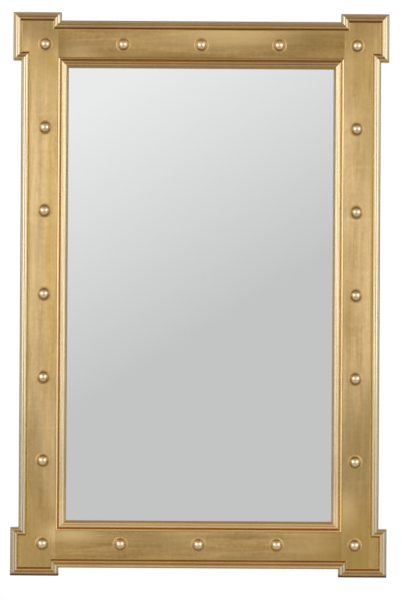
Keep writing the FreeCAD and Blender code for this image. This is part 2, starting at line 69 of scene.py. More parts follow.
# Picture and camera
PICTURE_HEIGHT_PIXELS = 600
METRES_PER_PIXEL = 0.0016206
CAMERA_DISTANCE = 4.0
CAMERA_ROLL = 0.0062
CAMERA_PITCH = 0.0055
AIM_RIGHT_PIXELS = 0.75
AIM_DOWN_PIXELS = 5.3
SENSOR_HEIGHT_MM = 36.0

# Two tall softboxes, one on each side, turned towards the mirror's axis
SOFTBOX_OUT = 2.06
SOFTBOX_FRONT = 1.99
SOFTBOX_UP = 0.605
SOFTBOX_WIDTH = 1.97
SOFTBOX_HEIGHT = 1.75
SOFTBOX_RADIANCE = 1.85
SOFTBOX_COLOUR = (0.96, 1.0, 1.08)
# A dimmer panel under each softbox
FILL_UP = -0.77
FILL_HEIGHT = 1.0
FILL_RADIANCE = 0.50

# Surroundings: the grey card that the glass shows, dimmer all round, and white behind the mirror.
# A reach is the pair of direction components between which a zone fades in.
CARD_BRIGHT = 0.87
CARD_DIM = 0.585
CARD_SLOPE_RIGHT = 0.533
CARD_SLOPE_UP = -0.846
CARD_BRIGHT_END = -0.0965
CARD_DIM_START = 0.0068
LEAST_FRONT = 0.05
SIDE_LIGHT = (0.42, 0.40, 0.36, 1.0)
SIDE_REACH = (0.35, 0.75)
REAR_LIGHT = (0.40, 0.38, 0.34, 1.0)
REAR_REACH = (0.0, 0.35)
UP_LIGHT = (0.72, 0.67, 0.57, 1.0)
UP_REACH = (0.15, 0.40)
TOP_LIGHT = (0.32, 0.295, 0.245, 1.0)
TOP_REACH = (0.50, 0.95)
DOWN_LIGHT = (0.20, 0.185, 0.155, 1.0)
DOWN_REACH = (0.15, 0.60)
WHITE_LIGHT = (1.0, 1.0, 1.0, 1.0)
WHITE_REACH = (0.85, 0.97)

# Pale floor, as far below the mirror's middle as if the mirror hung at eye level
FLOOR_REACH = 6.0
FLOOR_DROP = 1.5
FLOOR_DEEP = (0.70, 0.68, 0.64, 1.0)
FLOOR_LIGHT = (0.77, 0.75, 0.71, 1.0)
FLOOR_MOTTLES_PER_METRE = 3.0
FLOOR_ROUGHNESS = (0.8, 0.9)

# Noise: where most of its values lie, where most sums of two lie, and the detail of clouds
NOISE_SPREAD = (0.3, 0.7)
NOISE_PAIR_SPREAD = (0.6, 1.4)
CLOUD_DETAIL = 4.0
CLOUD_ROUGHNESS = 0.6

# Sockets of a mix node that mixes colours
MIX_SHARE = 0
MIX_FIRST = 6
MIX_SECOND = 7
MIX_RESULT = 2

# Gold leaf, brushed along each member and laid in squares. A lap lies at one place in each square,
# given as a share of its length, and fades out between two distances from there.
LEAF_SIZE = 0.085
LEAF_LAP_PLACE = 0.5
LEAF_LAP_FADE = (0.0016, 0.0032)
LEAF_LAP_SHARE = 0.06
LAP_WANDERS_PER_METRE = 40.0
LAP_WANDER_DETAIL = 3.0
LAP_WANDER = 0.010
STREAKS_PER_METRE = 480.0
STREAKS_ALONG = 26.0
STREAK_DETAIL = 3.0
STREAK_BUMP = (0.12, 0.0004)
BANDS_PER_METRE = 105.0
BANDS_ALONG = 7.0
CLOUDS_PER_METRE = 14.0
MOTTLES_PER_METRE = 150.0
MOTTLE_DETAIL = 3.0
STREAK_WEIGHT = 0.38
BAND_WEIGHT = 0.80
CLOUD_WEIGHT = 0.60
MOTTLE_WEIGHT = 0.40
TONE_RANGE = (0.82, 1.36)
OLIVE_RANGE = (0.45, 0.70)
OLIVE_SHARE = 0.7
OLIVE_OFFSET = (3.0, 5.0, 7.0)
GOLD_LAP = (0.86, 0.66, 0.36, 1.0)
# Dark gold of the painted shade on the reeds' lower faces, also of the darker spots of the frieze
GOLD_SHADE_AND_DARKER_SPOTS = (0.34, 0.205, 0.045, 1.0)
GOLD_PALER_SPOT = (1.00, 0.735, 0.340, 1.0)
GOLD_YELLOW = (0.62, 0.380, 0.060, 1.0)
# Painted shade, at the feet of the lower ears and of the domes
GOLD_PAINTED_SHADE = (0.07, 0.04, 0.015, 1.0)
# Height above the lowest edge over which the painted shade at the feet of the lower ears fades out
FOOT_SHADE_RISE = (0.001, 0.007)
# Heights over which the brushing of a stile turns across its top end
BRUSH_TURN = (0.31, 0.57)

# Soft oval spots of the frieze, darker, yellower or paler:
# X and Z of the middle, reach in X and Z, and share at the middle
DARKER_SPOTS = [
    (-0.245, 0.392, 0.055, 0.070, 0.62),
    (-0.060, 0.375, 0.160, 0.032, 0.68),
    (0.165, 0.405, 0.105, 0.110, 0.46),
    (0.258, 0.390, 0.050, 0.110, 0.44),
    (0.270, 0.270, 0.040, 0.200, 0.35),
    (0.243, -0.040, 0.018, 0.150, 0.45),
    (0.258, -0.250, 0.050, 0.150, 0.55),
    (0.245, -0.430, 0.070, 0.090, 0.36),
    (-0.270, -0.280, 0.030, 0.120, 0.28),
    (0.243, -0.405, 0.025, 0.032, 0.25),
]
YELLOW_SPOTS = [
    (-0.270, 0.400, 0.120, 0.120, 0.12),
    (0.260, 0.400, 0.120, 0.120, 0.15),
    (-0.243, 0.050, 0.018, 0.450, 0.35),
    (-0.270, -0.400, 0.120, 0.140, 0.36),
    (0.250, -0.410, 0.120, 0.150, 0.50),
]
PALER_SPOTS = [
    (0.045, 0.431, 0.170, 0.034, 1.00),
    (-0.200, 0.388, 0.055, 0.024, 0.50),
    (-0.205, -0.388, 0.070, 0.030, 0.95),
    (-0.020, -0.390, 0.070, 0.030, 0.35),
    (0.180, -0.400, 0.090, 0.060, 0.40),
    (-0.243, -0.240, 0.018, 0.090, 0.25),
    (-0.273, 0.130, 0.013, 0.300, 0.19),
    (0.273, 0.060, 0.012, 0.260, 0.19),
    (-0.030, -0.425, 0.120, 0.022, 0.25),
    (0.000, 0.409, 0.260, 0.018, 0.25),
    (0.240, -0.346, 0.022, 0.045, 0.40),
    (-0.238, -0.322, 0.016, 0.055, 0.32),
]

# Leaf of the frieze, on the stiles and on the rails. The rails' copy is brighter in its light tone and
# more saturated, as painted light and shade.
FRIEZE_SHEEN = {
    "roughness": (0.27, 0.34),
    "anisotropy": 1.0,
    "coat": 0.25,
    "coat_left": 1.0,
    "coat_roughness": 0.25,
    "coat_ior": 1.5,
    "spots": ((YELLOW_SPOTS, GOLD_YELLOW), (DARKER_SPOTS, GOLD_SHADE_AND_DARKER_SPOTS), (PALER_SPOTS, GOLD_PALER_SPOT)),
}
STILE_FINISH = {
    **FRIEZE_SHEEN,
    "deep": (0.44, 0.287, 0.110, 1.0),
    "light": (0.735, 0.508, 0.243, 1.0),
    "olive": (0.50, 0.365, 0.170, 1.0),
}
RAIL_FINISH = {
    **FRIEZE_SHEEN,
    "deep": (0.452, 0.275, 0.084, 1.0),
    "light": (0.893, 0.606, 0.256, 1.0),
    "olive": (0.555, 0.388, 0.162, 1.0),
}

# Leaf of the mouldings, in lit and shaded copies for the sides as painted light and shade. Shares say how
# much painted shade falls on a reed's lower face, how much painted highlight on a fillet and how much
# painted light on the lower end. Little of the coat is left in the quirks.
MOULDING_SHEEN = {
    "roughness": (0.26, 0.33),
    "anisotropy": 0.2,
    "coat": 1.0,
    "coat_left": 0.1,
    "coat_roughness": 0.15,
    "coat_ior": 2.55,
    "groove_shade": 0.0,
    "fillet_highlight": 0.0,
    "lower_light": 0.0,
}
TOP_LEAF = {
    "deep": (0.46, 0.280, 0.087, 1.0),
    "light": (0.59, 0.379, 0.137, 1.0),
    "olive": (0.49, 0.318, 0.111, 1.0),
    "coat": 0.55,
}
BOTTOM_LEAF = {
    "deep": (0.59, 0.358, 0.112, 1.0),
    "light": (0.75, 0.475, 0.171, 1.0),
    "olive": (0.62, 0.398, 0.137, 1.0),
    "coat": 0.6,
}
OUTER_UPRIGHT_LEAF = {
    "deep": (0.50, 0.355, 0.140, 1.0),
    "light": (0.62, 0.470, 0.210, 1.0),
    "olive": (0.54, 0.400, 0.180, 1.0),
}
SIGHT_UPRIGHT_LEAF = {
    "deep": (0.58, 0.410, 0.160, 1.0),
    "light": (0.72, 0.545, 0.245, 1.0),
    "olive": (0.62, 0.460, 0.205, 1.0),
}
# Share of painted light towards the lower end of the sight mouldings
SIGHT_LOWER_LIGHT = 0.55
# Each side's quirk colour is painted light and shade, set to how the light falls into that quirk
MOULDING_LEAVES = {
    "outer_top": {**TOP_LEAF, "quirk": (0.68, 0.355, 0.040, 1.0), "groove_shade": 0.20},
    "outer_bottom": {**BOTTOM_LEAF, "quirk": (0.78, 0.480, 0.120, 1.0), "groove_shade": 0.75},
    "outer_left": {**OUTER_UPRIGHT_LEAF, "quirk": (1.00, 0.820, 0.330, 1.0)},
    "outer_right": {**OUTER_UPRIGHT_LEAF, "quirk": (0.98, 0.770, 0.290, 1.0)},
    "sight_top": {
        **TOP_LEAF,
        "quirk": (0.76, 0.510, 0.170, 1.0),
        "groove_shade": 0.30,
        "fillet_highlight": 0.10,
        "lower_light": SIGHT_LOWER_LIGHT,
    },
    "sight_bottom": {
        **BOTTOM_LEAF,
        "quirk": (0.74, 0.510, 0.205, 1.0),
        "fillet_highlight": 0.40,
        "lower_light": SIGHT_LOWER_LIGHT,
    },
    "sight_left": {
        **SIGHT_UPRIGHT_LEAF,
        "quirk": (0.70, 0.535, 0.255, 1.0),
        "fillet_highlight": 0.60,
        "lower_light": SIGHT_LOWER_LIGHT,
    },
    "sight_right": {
        **SIGHT_UPRIGHT_LEAF,
        "quirk": (0.86, 0.690, 0.380, 1.0),
        "fillet_highlight": 0.64,
        "lower_light": SIGHT_LOWER_LIGHT,
    },
}
# Upward tilts of the surface over which the painted shade on a reed's lower face starts and ends
GROOVE_SHADE_START_TILT = (-0.82, -0.74)
GROOVE_SHADE_END_TILT = (-0.40, -0.12)
# Rises above the frieze over which a fillet's painted highlight starts, a quirk's painted light and shade
# starts and the coat thins
FILLET_HIGHLIGHT_RISE = (0.0018, 0.0012)
FILLET_HIGHLIGHT_GOLD = (1.00, 0.780, 0.440, 1.0)
QUIRK_RISE = (0.0001, -0.0005)
COAT_RISE = (0.0018, 0.0005)
# Heights over which the sight moulding is painted paler towards its lower edge as painted light, and under
# it no longer
LOWER_LIGHT_HEIGHT = (-0.30, -0.36)
LOWER_LIGHT_END_HEIGHT = (-0.390, -0.410)
MOULDING_LOWER_LIGHT = (1.00, 0.690, 0.310, 1.0)

# Bare wood on the backs, and the distances in front of the back over which the gilding ends
BACK_RISE = (0.0005, 0.0002)
WOOD_DARK = (0.40, 0.26, 0.13, 1.0)
WOOD_LIGHT = (0.60, 0.43, 0.24, 1.0)
WOOD_ROUGHNESS = 0.6

# Gilt of the studs. Rises above the frieze say where the collar and its edge, paler as a painted
# highlight, start and where the painted shade at the dome's foot starts.
STUD_DEEP = (0.74, 0.530, 0.260, 1.0)
STUD_LIGHT = (0.93, 0.720, 0.420, 1.0)
STUD_CLOUDS_PER_METRE = 160.0
STUD_ROUGHNESS = (0.28, 0.36)
STUD_COAT_ROUGHNESS = 0.22
STUD_COAT_IOR = 2.8
COLLAR_GOLD = (0.50, 0.330, 0.125, 1.0)
COLLAR_EDGE_HIGHLIGHT_GOLD = (0.74, 0.510, 0.210, 1.0)
COLLAR_RISE = (0.0015, 0.0011)
COLLAR_EDGE_HIGHLIGHT_RISE = (0.0006, 0.0004)
COLLAR_ROUGHNESS = 0.5
DOME_FOOT_SHADE_RISE = (0.0069, 0.0027)
DOME_FOOT_SHADE_SHARE = 0.92

# Silvered glass with a faint haze
GLASS_DIM = (0.930, 0.940, 0.940, 1.0)
GLASS_BRIGHT = (0.945, 0.950, 0.950, 1.0)
HAZES_PER_METRE = 9.0
HAZE_DETAIL = 5.0
GLASS_ROUGHNESS = (0.012, 0.022)

# Pressed fibre board
BOARD_DARK = (0.085, 0.043, 0.019, 1.0)
BOARD_LIGHT = (0.20, 0.115, 0.056, 1.0)
FIBRES_PER_METRE = 900.0
FIBRE_DETAIL = 5.0
FIBRE_ROUGHNESS = 0.7
FIBRE_WEIGHT = 0.7
PATCHES_PER_METRE = 18.0
PATCH_DETAIL = 3.0
PATCH_WEIGHT = 0.5
BOARD_TONE_RANGE = (0.4, 0.9)
BOARD_ROUGHNESS = (0.55, 0.75)
BOARD_BUMP = (0.3, 0.0003)

# Plain stuffs: two close tones, grains per metre and roughness
GRAIN_BUMP = (0.25, 0.0002)
PLAIN_STUFFS = {
    "zinc": {
        "dark": (0.42, 0.42, 0.40, 1.0),
        "light": (0.60, 0.60, 0.57, 1.0),
        "grain": 700.0,
        "roughness": (0.28, 0.42),
        "metallic": 1.0,
    },
    "dowel_wood": {
        "dark": (0.42, 0.27, 0.13, 1.0),
        "light": (0.58, 0.40, 0.21, 1.0),
        "grain": 500.0,
        "roughness": (0.5, 0.7),
    },
    "glazing_tape": {
        "dark": (0.02, 0.02, 0.02, 1.0),
        "light": (0.04, 0.04, 0.04, 1.0),
        "grain": 900.0,
        "roughness": (0.6, 0.8),
    },
    "foam": {
        "dark": (0.03, 0.03, 0.03, 1.0),
        "light": (0.07, 0.07, 0.07, 1.0),
        "grain": 1500.0,
        "roughness": (0.8, 0.95),
    },
    "bumper_rubber": {
        "dark": (0.015, 0.015, 0.015, 1.0),
        "light": (0.03, 0.03, 0.03, 1.0),
        "grain": 800.0,
        "roughness": (0.5, 0.7),
    },
}

# Cross recess in the head of each screw
RECESSED_NODES = ("backing_screws", "hanger_screws")
RECESS_ARM_COUNT = 4
RECESS_ARM = 0.00185
RECESS_HALF_WIDTH = 0.00042
RECESS_DEPTH = 0.0013
RECESS_TAPER = 0.6
RECESS_OVERSHOOT = 0.0005
RECESS_TURN = 0.9
WELD_REACH = 0.000002
SHARP_ANGLE = math.radians(30.0)


def new_material(name):
    """A node material with its principled shader, as (material, tree, shader)."""
    material = bpy.data.materials.new(name)
    material.use_nodes = True
    tree = material.node_tree
    return material, tree, tree.nodes["Principled BSDF"]


def add(tree, kind, inputs=None, **settings):
    """A node of one kind, with its settings, and with each input linked or set."""
    node = tree.nodes.new(kind)
    for name, value in settings.items():
        setattr(node, name, value)
    for name, value in (inputs or {}).items():
        connect(tree, value, node.inputs[name])
    return node


def connect(tree, value, socket):
    """Links an output to a socket, or sets the socket to a constant."""
    if isinstance(value, bpy.types.NodeSocket):
        tree.links.new(value, socket)
    else:
        socket.default_value = value


def math_node(tree, operation, first, second=0.0):
    """The number that one operation makes of two."""
    return add(tree, "ShaderNodeMath", {0: first, 1: second}, operation=operation).outputs[0]


def vector_node(tree, operation, first, second):
    """The vector that one operation makes of two."""
    return add(tree, "ShaderNodeVectorMath", {0: first, 1: second}, operation=operation).outputs[0]


def components(tree, vector):
    """A vector's X, Y and Z by name."""
    return add(tree, "ShaderNodeSeparateXYZ", {"Vector": vector}).outputs


def remap(tree, value, low, high, to_low, to_high, smooth=False):
    """Value taken from low..high to to_low..to_high, held at both ends."""
    kind = "SMOOTHSTEP" if smooth else "LINEAR"
    inputs = {"Value": value, "From Min": low, "From Max": high, "To Min": to_low, "To Max": to_high}
    return add(tree, "ShaderNodeMapRange", inputs, interpolation_type=kind, clamp=True).outputs["Result"]


def mix(tree, share, first, second):
    """Colour that goes from first to second as share goes from 0 to 1."""
    inputs = {MIX_SHARE: share, MIX_FIRST: first, MIX_SECOND: second}
    return add(tree, "ShaderNodeMix", inputs, data_type="RGBA").outputs[MIX_RESULT]


def place(tree):
    """The point on the object, in metres."""
    return add(tree, "ShaderNodeTexCoord").outputs["Object"]


def surface_normal(tree):
    """The direction that the surface faces."""
    return add(tree, "ShaderNodeNewGeometry").outputs["Normal"]


def noise(tree, point, scale=1.0, detail=2.0, roughness=0.5):
    """Smooth noise from 0 to 1, mostly near the middle."""
    inputs = {"Vector": point, "Scale": scale, "Detail": detail, "Roughness": roughness}
    return add(tree, "ShaderNodeTexNoise", inputs).outputs["Fac"]


def clouded(tree, point, per_metre):
    """Noise in soft clouds of mixed sizes."""
    return noise(tree, point, per_metre, CLOUD_DETAIL, CLOUD_ROUGHNESS)


def brushed(tree, point, axis, across, along, detail=2.0):
    """Noise drawn out along one axis."""
    scales = tuple(along if letter == axis else across for letter in "XYZ")
    return noise(tree, vector_node(tree, "MULTIPLY", point, scales), 1.0, detail)


def bump(tree, height, strength, depth):
    """A normal that follows a height."""
    inputs = {"Height": height, "Strength": strength, "Distance": depth}
    return add(tree, "ShaderNodeBump", inputs).outputs["Normal"]


def weighted_sum(tree, *terms):
    """The sum of values, each given with its weight."""
    total = 0.0
    for value, weight in terms:
        total = math_node(tree, "ADD", math_node(tree, "MULTIPLY", value, weight), total)
    return total


def above_frieze(rises):
    """The Y places that stand proud of the frieze's face by these rises."""
    return [FRIEZE_FACE - rise for rise in rises]


def above_foot(tree, height, full):
    """A value that grows from 0 to full just above the mirror's lowest edge."""
    start, end = (LOWEST_EDGE + rise for rise in FOOT_SHADE_RISE)
    return remap(tree, height, start, end, 0.0, full, True)


def leaf_laps(tree, point, axis):
    """1 where one square of leaf laps over the next along the member, 0 elsewhere."""
    wander = noise(tree, point, LAP_WANDERS_PER_METRE, LAP_WANDER_DETAIL)
    along = weighted_sum(tree, (components(tree, point)[axis], 1.0), (wander, LAP_WANDER))
    share = math_node(tree, "FRACT", math_node(tree, "DIVIDE", along, LEAF_SIZE))
    away = math_node(tree, "ABSOLUTE", math_node(tree, "SUBTRACT", share, LEAF_LAP_PLACE))
    start, end = (distance / LEAF_SIZE for distance in LEAF_LAP_FADE)
    return remap(tree, away, start, end, 1.0, 0.0)


def leaf_colour(tree, point, axis, finish, streaks, clouds):
    """Gold with broad bands and clouds, more olive in places, paler where one leaf laps the next."""
    bands = brushed(tree, point, axis, BANDS_PER_METRE, BANDS_ALONG)
    mottle = noise(tree, point, MOTTLES_PER_METRE, MOTTLE_DETAIL)
    tone = weighted_sum(
        tree,
        (streaks, STREAK_WEIGHT),
        (bands, BAND_WEIGHT),
        (clouds, CLOUD_WEIGHT),
        (mottle, MOTTLE_WEIGHT),
    )
    gold = mix(tree, remap(tree, tone, *TONE_RANGE, 0.0, 1.0), finish["deep"], finish["light"])
    elsewhere = vector_node(tree, "ADD", point, OLIVE_OFFSET)
    olive = brushed(tree, elsewhere, axis, BANDS_PER_METRE, BANDS_ALONG)
    gold = mix(tree, remap(tree, olive, *OLIVE_RANGE, 0.0, OLIVE_SHARE), gold, finish["olive"])
    laps = math_node(tree, "MULTIPLY", leaf_laps(tree, point, axis), LEAF_LAP_SHARE)
    return mix(tree, laps, gold, GOLD_LAP)


def spots(tree, point, places):
    """The summed shares of soft oval spots at their places on the face."""
    total = 0.0
    for x, z, reach_x, reach_z, share in places:
        offset = vector_node(tree, "ADD", point, (-x, 0.0, -z))
        scaled = vector_node(tree, "MULTIPLY", offset, (1.0 / reach_x, 0.0, 1.0 / reach_z))
        away = add(tree, "ShaderNodeVectorMath", {0: scaled}, operation="LENGTH").outputs["Value"]
        total = math_node(tree, "ADD", remap(tree, away, 0.0, 1.0, share, 0.0, True), total)
    return total


def frieze_spotting(tree, point, gold, finish):
    """Leaf yellower, darker or paler in soft spots."""
    for places, tone in finish["spots"]:
        gold = mix(tree, spots(tree, point, places), gold, tone)
    return gold


def groove_shade_share(tree, share):
    """The share of painted shade on the lower face of a reed."""
    tilt = components(tree, surface_normal(tree))["Z"]
    started = remap(tree, tilt, *GROOVE_SHADE_START_TILT, 0.0, share)
    return math_node(tree, "MULTIPLY", started, remap(tree, tilt, *GROOVE_SHADE_END_TILT, 1.0, 0.0))


def moulding_painted_light_and_shade(tree, point, gold, finish):
    """Leaf with painted shade on reeds' lower faces, a painted highlight on fillets, painted light low
    down, quirks in painted light and shade, and painted shade at the feet.
    """
    depth = components(tree, point)["Y"]
    height = components(tree, point)["Z"]
    # Painted shade on the lower faces of the reeds
    gold = mix(tree, groove_shade_share(tree, finish["groove_shade"]), gold, GOLD_SHADE_AND_DARKER_SPOTS)
    # Painted highlight on the fillets
    fillet_highlight = remap(tree, depth, *above_frieze(FILLET_HIGHLIGHT_RISE), 0.0, finish["fillet_highlight"], True)
    gold = mix(tree, fillet_highlight, gold, FILLET_HIGHLIGHT_GOLD)
    # Painted light: paler leaf towards the lower edge of the sight mouldings
    lower_light = remap(tree, height, *LOWER_LIGHT_HEIGHT, 0.0, finish["lower_light"], True)
    lower_light_end = remap(tree, height, *LOWER_LIGHT_END_HEIGHT, 1.0, 0.0, True)
    gold = mix(tree, math_node(tree, "MULTIPLY", lower_light, lower_light_end), gold, MOULDING_LOWER_LIGHT)
    # Painted light and shade: each side's own quirk colour
    quirk = remap(tree, depth, *above_frieze(QUIRK_RISE), 0.0, 1.0, True)
    gold = mix(tree, quirk, gold, finish["quirk"])
    # Painted shade at the feet of the lower ears
    return mix(tree, above_foot(tree, height, 1.0), GOLD_PAINTED_SHADE, gold)


def brush_tangent(tree, point, axis):
    """The direction across the brushing, which turns at the top end of a stile."""
    normal = surface_normal(tree)
    lengthwise = tuple(1.0 if letter == axis else 0.0 for letter in "XYZ")
    tangent = vector_node(tree, "CROSS_PRODUCT", normal, lengthwise)
    if axis == "X":
        return tangent
    crosswise = vector_node(tree, "CROSS_PRODUCT", normal, (1.0, 0.0, 0.0))
    turn = remap(tree, components(tree, point)["Z"], *BRUSH_TURN, 0.0, 1.0, True)
    return mix(tree, turn, tangent, crosswise)


def gilt_share(tree, point):
    """1 where the wood is gilded, 0 on its bare back."""
    start, end = (BOARD_BACK - rise for rise in BACK_RISE)
    return remap(tree, components(tree, point)["Y"], start, end, 1.0, 0.0)


def lacquer(tree, point, finish):
    """The weight of the clear coat, none at the feet and less in the quirks of a moulding."""
    coat = above_foot(tree, components(tree, point)["Z"], finish["coat"])
    left = remap(tree, components(tree, point)["Y"], *above_frieze(COAT_RISE), 1.0, finish["coat_left"])
    return math_node(tree, "MULTIPLY", coat, left)


def gilding(name, axis, finish, markings):
    """Gold leaf under lacquer, brushed along one axis, with the marks that the given function lays on it,
    and bare wood at the back.
    """
    material, tree, shader = new_material(name)
    point = place(tree)
    streaks = brushed(tree, point, axis, STREAKS_PER_METRE, STREAKS_ALONG, STREAK_DETAIL)
    clouds = clouded(tree, point, CLOUDS_PER_METRE)
    gold = markings(tree, point, leaf_colour(tree, point, axis, finish, streaks, clouds), finish)
    gilt = gilt_share(tree, point)
    wood = mix(tree, remap(tree, streaks, *NOISE_SPREAD, 0.0, 1.0), WOOD_DARK, WOOD_LIGHT)
    connect(tree, mix(tree, gilt, wood, gold), shader.inputs["Base Color"])
    connect(tree, gilt, shader.inputs["Metallic"])
    grain = math_node(tree, "ADD", streaks, clouds)
    leafy = remap(tree, grain, *NOISE_PAIR_SPREAD, *finish["roughness"])
    bare = remap(tree, gilt, 0.0, 1.0, WOOD_ROUGHNESS, 0.0)
    connect(tree, math_node(tree, "MAXIMUM", leafy, bare), shader.inputs["Roughness"])
    shader.inputs["Anisotropic"].default_value = finish["anisotropy"]
    coat = math_node(tree, "MULTIPLY", lacquer(tree, point, finish), gilt)
    connect(tree, coat, shader.inputs["Coat Weight"])
    shader.inputs["Coat Roughness"].default_value = finish["coat_roughness"]
    shader.inputs["Coat IOR"].default_value = finish["coat_ior"]
    connect(tree, brush_tangent(tree, point, axis), shader.inputs["Tangent"])
    connect(tree, bump(tree, streaks, *STREAK_BUMP), shader.inputs["Normal"])
    return material


def moulding_gilding(side):
    """The gilding of the mouldings on one side, such as outer_top or sight_left."""
    axis = "X" if side.endswith(("_top", "_bottom")) else "Z"
    finish = {**MOULDING_SHEEN, **MOULDING_LEAVES[side]}
    return gilding(f"moulding_{side}", axis, finish, moulding_painted_light_and_shade)


def stud_gilding():
    """Polished gilt domes on duller collars with a paler edge as a painted highlight, and painted shade
    where the two meet.
    """
    material, tree, shader = new_material("stud_gilding")
    point = place(tree)
    depth = components(tree, point)["Y"]
    clouds = clouded(tree, point, STUD_CLOUDS_PER_METRE)
    dome = mix(tree, remap(tree, clouds, *NOISE_SPREAD, 0.0, 1.0), STUD_DEEP, STUD_LIGHT)
    # Painted shade at the foot of the dome
    foot_shade = remap(tree, depth, *above_frieze(DOME_FOOT_SHADE_RISE), 0.0, DOME_FOOT_SHADE_SHARE)
    dome = mix(tree, foot_shade, dome, GOLD_PAINTED_SHADE)
    # Painted highlight: a paler ring at the collar's low edge
    edge = remap(tree, depth, *above_frieze(COLLAR_EDGE_HIGHLIGHT_RISE), 0.0, 1.0)
    ring = mix(tree, edge, COLLAR_GOLD, COLLAR_EDGE_HIGHLIGHT_GOLD)
    collar = remap(tree, depth, *above_frieze(COLLAR_RISE), 0.0, 1.0)
    connect(tree, mix(tree, collar, dome, ring), shader.inputs["Base Color"])
    shader.inputs["Metallic"].default_value = 1.0
    polished = remap(tree, clouds, *NOISE_SPREAD, *STUD_ROUGHNESS)
    dulled = math_node(tree, "MULTIPLY", collar, COLLAR_ROUGHNESS)
    connect(tree, math_node(tree, "MAXIMUM", polished, dulled), shader.inputs["Roughness"])
    connect(tree, remap(tree, collar, 0.0, 1.0, 1.0, 0.0), shader.inputs["Coat Weight"])
    shader.inputs["Coat Roughness"].default_value = STUD_COAT_ROUGHNESS
    shader.inputs["Coat IOR"].default_value = STUD_COAT_IOR
    return material


def silvered_glass():
    """Silvered glass with the faintest haze."""
    material, tree, shader = new_material("silvered_glass")
    haze = noise(tree, place(tree), HAZES_PER_METRE, HAZE_DETAIL, CLOUD_ROUGHNESS)
    connect(tree, mix(tree, haze, GLASS_DIM, GLASS_BRIGHT), shader.inputs["Base Color"])
    shader.inputs["Metallic"].default_value = 1.0
    connect(tree, remap(tree, haze, *NOISE_SPREAD, *GLASS_ROUGHNESS), shader.inputs["Roughness"])
    return material


def hardboard():
    """Brown pressed fibre board."""
    material, tree, shader = new_material("hardboard")
    point = place(tree)
    fibres = noise(tree, point, FIBRES_PER_METRE, FIBRE_DETAIL, FIBRE_ROUGHNESS)
    patches = noise(tree, point, PATCHES_PER_METRE, PATCH_DETAIL)
    tone = weighted_sum(tree, (fibres, FIBRE_WEIGHT), (patches, PATCH_WEIGHT))
    colour = mix(tree, remap(tree, tone, *BOARD_TONE_RANGE, 0.0, 1.0), BOARD_DARK, BOARD_LIGHT)
    connect(tree, colour, shader.inputs["Base Color"])
    connect(tree, remap(tree, fibres, *NOISE_SPREAD, *BOARD_ROUGHNESS), shader.inputs["Roughness"])
    connect(tree, bump(tree, fibres, *BOARD_BUMP), shader.inputs["Normal"])
    return material


def plain_stuff(name, dark, light, grain, roughness, metallic=0.0):
    """Two close tones broken by fine grain, with a like bump."""
    material, tree, shader = new_material(name)
    speck = clouded(tree, place(tree), grain)
    colour = mix(tree, remap(tree, speck, *NOISE_SPREAD, 0.0, 1.0), dark, light)
    connect(tree, colour, shader.inputs["Base Color"])
    shader.inputs["Metallic"].default_value = metallic
    connect(tree, remap(tree, speck, *NOISE_SPREAD, *roughness), shader.inputs["Roughness"])
    connect(tree, bump(tree, speck, *GRAIN_BUMP), shader.inputs["Normal"])
    return material


def floor_paper():
    """Pale matt paper, faintly mottled."""
    material, tree, shader = new_material("floor")
    mottle = clouded(tree, place(tree), FLOOR_MOTTLES_PER_METRE)
    connect(tree, mix(tree, mottle, FLOOR_DEEP, FLOOR_LIGHT), shader.inputs["Base Color"])
    connect(tree, remap(tree, mottle, *NOISE_SPREAD, *FLOOR_ROUGHNESS), shader.inputs["Roughness"])
    return material


def linked_object(name, data):
    """A mesh, lamp or camera as an object of the scene."""
    piece = bpy.data.objects.new(name, data)
    bpy.context.scene.collection.objects.link(piece)
    return piece


def shaped_object(name, shell):
    """A bmesh as an object of the scene."""
    mesh = bpy.data.meshes.new(name)
    shell.to_mesh(mesh)
    shell.free()
    return linked_object(name, mesh)


def welded(node):
    """The mesh of a CAD node as a bmesh with its doubled points joined."""
    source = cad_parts[node].data
    points = [point.co for point in source.vertices]
    faces = [face.vertices for face in source.polygons]
    mesh = bpy.data.meshes.new(node)
    mesh.from_pydata(points, [], faces)
    shell = bmesh.new()
    shell.from_mesh(mesh)
    bpy.data.meshes.remove(mesh)
    bmesh.ops.remove_doubles(shell, verts=shell.verts, dist=WELD_REACH)
    return shell


def loose_parts(shell):
    """The points of each separate part of a bmesh."""
    unseen = set(shell.verts)
    while unseen:
        front = [unseen.pop()]
        part = []
        while front:
            point = front.pop()
            part.append(point)
            near = {edge.other_vert(point) for edge in point.link_edges} & unseen
            unseen -= near
            front.extend(near)
        yield part


def head_middle(part):
    """The middle of a screw's head, where it faces the wall."""
    across = [point.co.x for point in part]
    upward = [point.co.z for point in part]
    top = max(point.co.y for point in part)
    return Vector(((min(across) + max(across)) / 2, top, (min(upward) + max(upward)) / 2))


def cross_ring(cutter, middle, turn, share, depth):
    """The twelve corners of a cross at one depth, turned and shrunk."""
    arm = RECESS_ARM * share
    half = RECESS_HALF_WIDTH * share
    ring = []
    for number in range(RECESS_ARM_COUNT):
        angle = turn + number * QUARTER_TURN
        for out, aside in ((arm, -half), (arm, half), (half, half)):
            x = out * math.cos(angle) - aside * math.sin(angle)
            z = out * math.sin(angle) + aside * math.cos(angle)
            ring.append(cutter.verts.new(middle + Vector((x, -depth, z))))
    return ring


def cross_cutter(middles):
    """One tapered cross for each screw head, as an object that cuts its recess."""
    cutter = bmesh.new()
    for number, middle in enumerate(middles):
        turn = number * RECESS_TURN
        mouth = cross_ring(cutter, middle, turn, 1.0, -RECESS_OVERSHOOT)
        floor = cross_ring(cutter, middle, turn, RECESS_TAPER, RECESS_DEPTH)
        cutter.faces.new(mouth)
        cutter.faces.new(list(reversed(floor)))
        for index, corner in enumerate(mouth):
            cutter.faces.new((corner, mouth[index - 1], floor[index - 1], floor[index]))
    bmesh.ops.recalc_face_normals(cutter, faces=cutter.faces)
    return shaped_object("recess_cutter", cutter)


